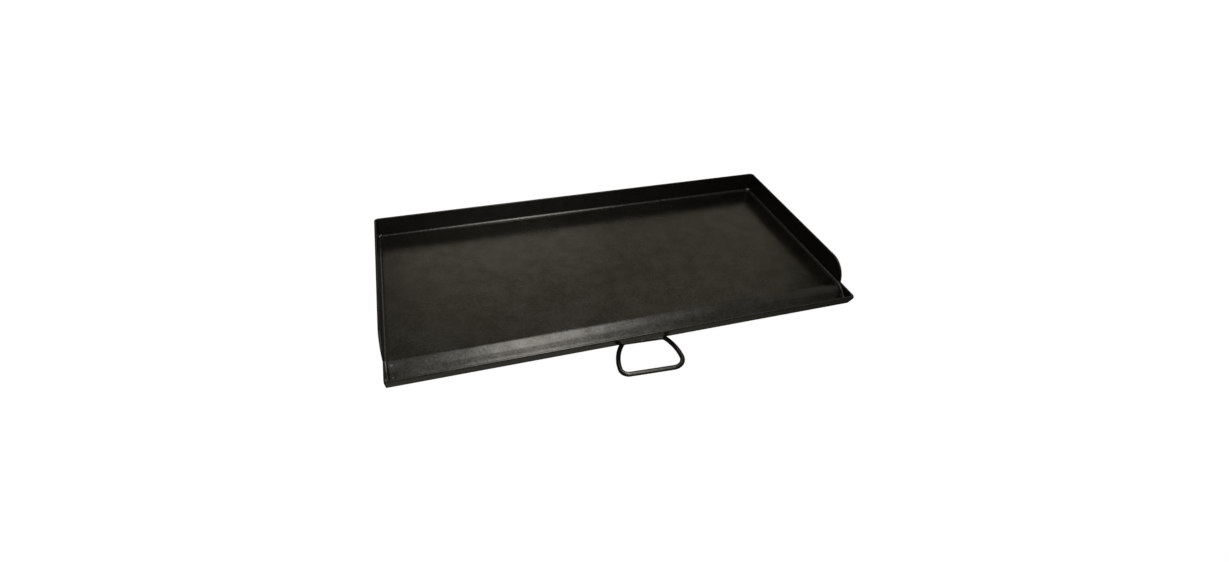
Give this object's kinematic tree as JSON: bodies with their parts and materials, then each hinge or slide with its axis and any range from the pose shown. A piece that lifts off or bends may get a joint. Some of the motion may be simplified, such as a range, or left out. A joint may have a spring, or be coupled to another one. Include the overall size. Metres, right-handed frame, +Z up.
{
  "type": "flat top griddle",
  "caption": "Stove-top griddle: flat folded steel plate with a welded wall round three sides, front grease trough, wire can holder and underside rails.",
  "frame": {"origin": "middle of the griddle's box in plan, on the surface that its rails rest on", "axes": "+X along the width to the cook's right, +Y to the back wall, +Z up"},
  "size_m": [0.8128, 0.454, 0.0749],
  "materials": {
    "seasoned_plate": "oil-seasoned carbon steel, semi-gloss with soft mottling",
    "seasoned_wall": "oil-seasoned carbon steel, darker and duller than the plate",
    "seam_bead": "seasoned weld bead, lighter than the sheet",
    "holder_wire": "seasoned round wire",
    "underside_bead": "scaled weld bead",
    "spreader_sheet": "heat-blued, scaled sheet",
    "rail_steel": "mill-scale angle"
  },
  "bodies": {
    "root": {"cooking_plate": "seasoned_plate", "wall_band": "seasoned_wall", "back_seam_weld": "seam_bead", "left_seam_weld": "seam_bead", "right_seam_weld": "seam_bead", "rear_left_corner_weld": "seam_bead", "rear_right_corner_weld": "seam_bead", "left_trough_weld": "seam_bead", "right_trough_weld": "seam_bead", "can_holder_loop": "holder_wire", "can_holder_left_weld": "underside_bead", "can_holder_right_weld": "underside_bead", "can_holder_back_weld": "underside_bead", "left_heat_spreader": "spreader_sheet", "right_heat_spreader": "spreader_sheet", "left_spreader_welds": "underside_bead", "right_spreader_welds": "underside_bead", "front_rail": "rail_steel", "rear_rail": "rail_steel", "centre_rail": "rail_steel", "left_end_rail": "rail_steel", "right_end_rail": "rail_steel", "front_rail_welds": "underside_bead", "rear_rail_welds": "underside_bead", "centre_rail_welds": "underside_bead", "left_end_rail_welds": "underside_bead", "right_end_rail_welds": "underside_bead"}
  },
  "joints": []
}
